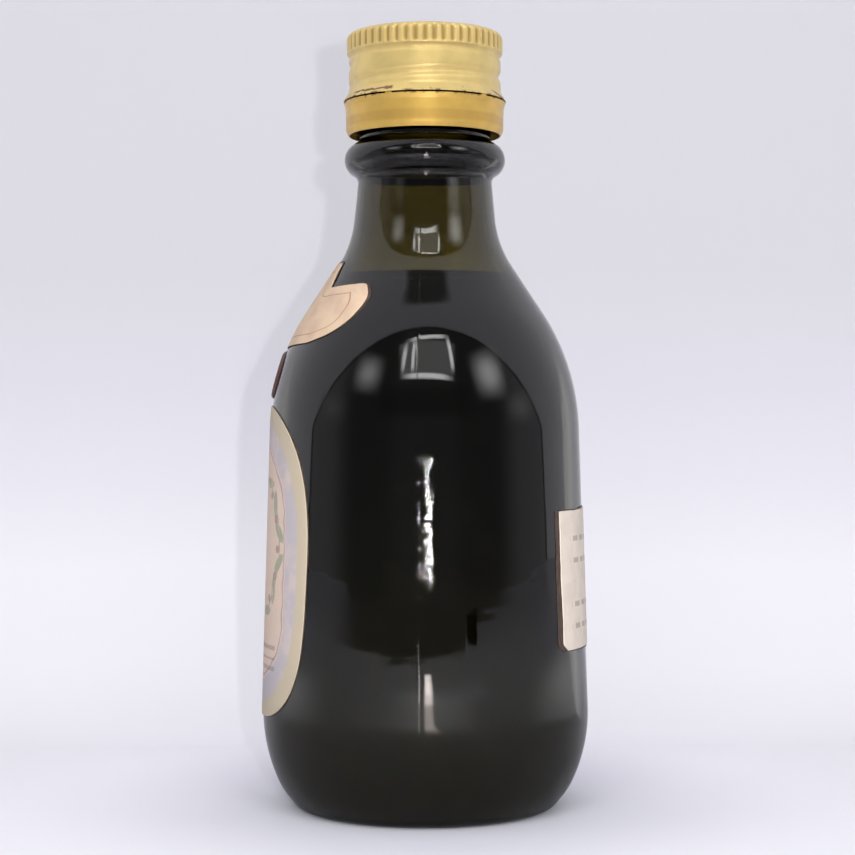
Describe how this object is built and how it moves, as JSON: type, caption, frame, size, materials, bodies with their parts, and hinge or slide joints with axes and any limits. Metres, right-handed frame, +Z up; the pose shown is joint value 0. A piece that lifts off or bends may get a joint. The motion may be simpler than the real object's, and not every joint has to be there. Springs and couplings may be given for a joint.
{
  "type": "glass bottle with screw cap",
  "caption": "Small round dark green glass bottle with a rolled-on aluminium screw cap that unscrews, a loose tear band, paper labels and dark contents.",
  "frame": {"origin": "centre of the standing ring on the surface that the bottle stands on, on the bottle's axis", "axes": "+Z up along the bottle's axis and out of the mouth; the front label faces -Y and the back label +Y; the mould seams face +X and -X"},
  "size_m": [0.0584, 0.0585, 0.1385],
  "materials": {
    "green_glass": "polished",
    "dark_liquid": "clear liquid",
    "gold_aluminium": "gold lacquered",
    "liner_white": "matt",
    "label_paper": "aged matt paper",
    "seal_wax": "waxy"
  },
  "bodies": {
    "glassware": {"bottle": "green_glass", "contents": "dark_liquid", "shoulder_label": "label_paper", "front_label": "label_paper", "back_label": "label_paper", "seal": "seal_wax"},
    "wad": {"cap_liner": "liner_white"},
    "cap": {"cap_shell": "gold_aluminium"},
    "band": {"tear_band": "gold_aluminium"}
  },
  "joints": [
    {"name": "cap_lift", "type": "slide", "parent": "glassware", "child": "wad", "axis": [0, 0, 1], "range_m": [0, 0.01272]},
    {"name": "cap_turn", "type": "hinge", "parent": "wad", "child": "cap", "pos_m": [0, 0, 0.13], "axis": [0, 0, 1], "range_deg": [0, 1440]},
    {"name": "band_spin", "type": "hinge", "parent": "glassware", "child": "band", "pos_m": [0, 0, 0.1235], "axis": [0, 0, 1], "continuous": true}
  ],
  "couplings": [
    {"joint": "cap_lift", "follows": "cap_turn", "m_per_rad": 0.00050611}
  ]
}
